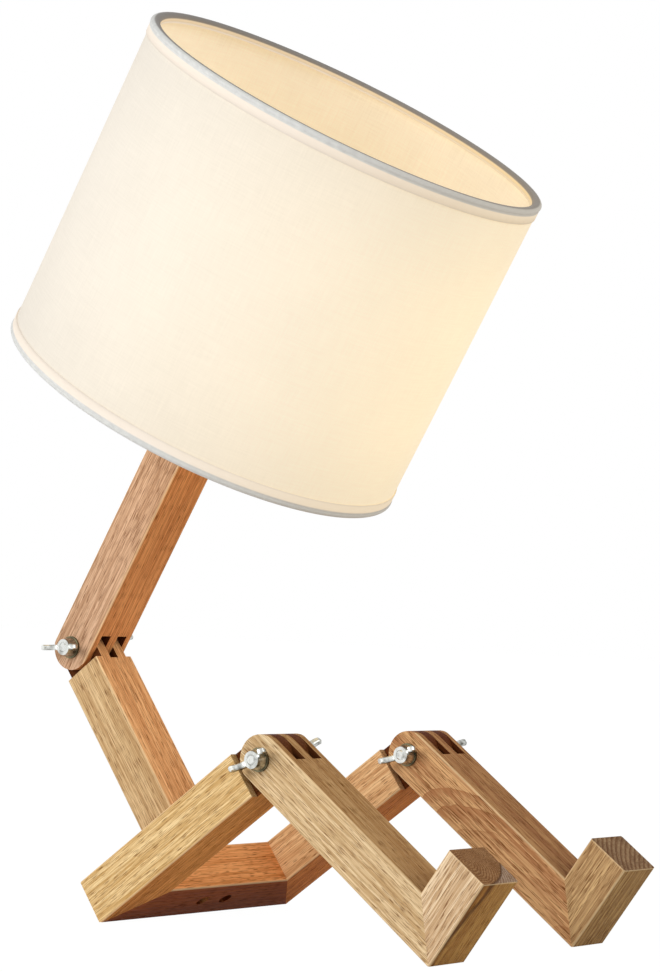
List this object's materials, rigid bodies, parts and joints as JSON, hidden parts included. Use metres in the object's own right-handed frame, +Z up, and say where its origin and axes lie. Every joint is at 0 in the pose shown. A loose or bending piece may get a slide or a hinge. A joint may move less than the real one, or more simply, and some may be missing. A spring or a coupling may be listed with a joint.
{
  "type": "desk lamp",
  "caption": "Desk lamp with a stand of jointed wooden bars, clamped by wing nuts, that sits like a figure and holds a drum shade.",
  "frame": {"origin": "on the table, at the middle of the overall box", "axes": "+X to the lamp's own left, away from the knees' wing nuts; -Y to the front, where the feet point; +Z up"},
  "size_m": [0.2176, 0.331, 0.4647],
  "materials": {
    "timber": "sanded and oiled",
    "plated_steel": "zinc plated",
    "screw_steel": "dark plated",
    "holder_plastic": "moulded, gloss",
    "porcelain": "glazed",
    "brass": "stamped",
    "bulb_metal": "rolled",
    "bulb_glass": "opal",
    "linen": "woven, backed",
    "shade_tape": "folded tape",
    "white_wire": "powder coated"
  },
  "bodies": {
    "seat": {"pelvis": "timber", "left_thigh": "timber", "right_thigh": "timber", "torso": "timber", "torso_screws": "screw_steel", "left_knee_wing_bolt": "plated_steel", "left_knee_washers": "plated_steel", "right_knee_wing_bolt": "plated_steel", "right_knee_washers": "plated_steel", "waist_wing_bolt": "plated_steel", "waist_washers": "plated_steel"},
    "left_leg": {"left_shin": "timber", "left_foot": "timber"},
    "right_leg": {"right_shin": "timber", "right_foot": "timber"},
    "head": {"upper_arm": "timber", "mounting_nipple": "plated_steel", "nipple_locknut": "plated_steel", "lampholder_cap": "holder_plastic", "lampholder_shell": "holder_plastic", "shade_ring": "holder_plastic", "lampholder_insert": "porcelain", "centre_contact": "brass", "screw_shell": "brass", "bulb_cap": "bulb_metal", "bulb_glass": "bulb_glass", "shade_fabric": "linen", "shade_top_hoop": "white_wire", "shade_bottom_hoop": "white_wire", "shade_fitter": "white_wire", "shade_top_trim": "shade_tape", "shade_bottom_trim": "shade_tape"},
    "left_knee_nut": {"left_knee_wing_nut": "plated_steel"},
    "right_knee_nut": {"right_knee_wing_nut": "plated_steel"},
    "waist_nut": {"waist_wing_nut": "plated_steel"}
  },
  "joints": [
    {"name": "left_knee", "type": "hinge", "parent": "seat", "child": "left_leg", "pos_m": [-0.06, -0.03517, 0.08631], "axis": [-1, 0, 0], "range_deg": [-20, 72]},
    {"name": "right_knee", "type": "hinge", "parent": "seat", "child": "right_leg", "pos_m": [0.06, -0.03517, 0.08631], "axis": [-1, 0, 0], "range_deg": [-20, 72]},
    {"name": "waist", "type": "hinge", "parent": "seat", "child": "head", "pos_m": [0, 0.14349, 0.13274], "axis": [-1, 0, 0], "range_deg": [-24, 66]},
    {"name": "left_knee_nut_turn", "type": "hinge", "parent": "seat", "child": "left_knee_nut", "pos_m": [-0.06, -0.03517, 0.08631], "axis": [-1, 0, 0], "range_deg": [0, 180]},
    {"name": "right_knee_nut_turn", "type": "hinge", "parent": "seat", "child": "right_knee_nut", "pos_m": [0.06, -0.03517, 0.08631], "axis": [-1, 0, 0], "range_deg": [0, 180]},
    {"name": "waist_nut_turn", "type": "hinge", "parent": "seat", "child": "waist_nut", "pos_m": [0, 0.14349, 0.13274], "axis": [-1, 0, 0], "range_deg": [0, 180]}
  ]
}
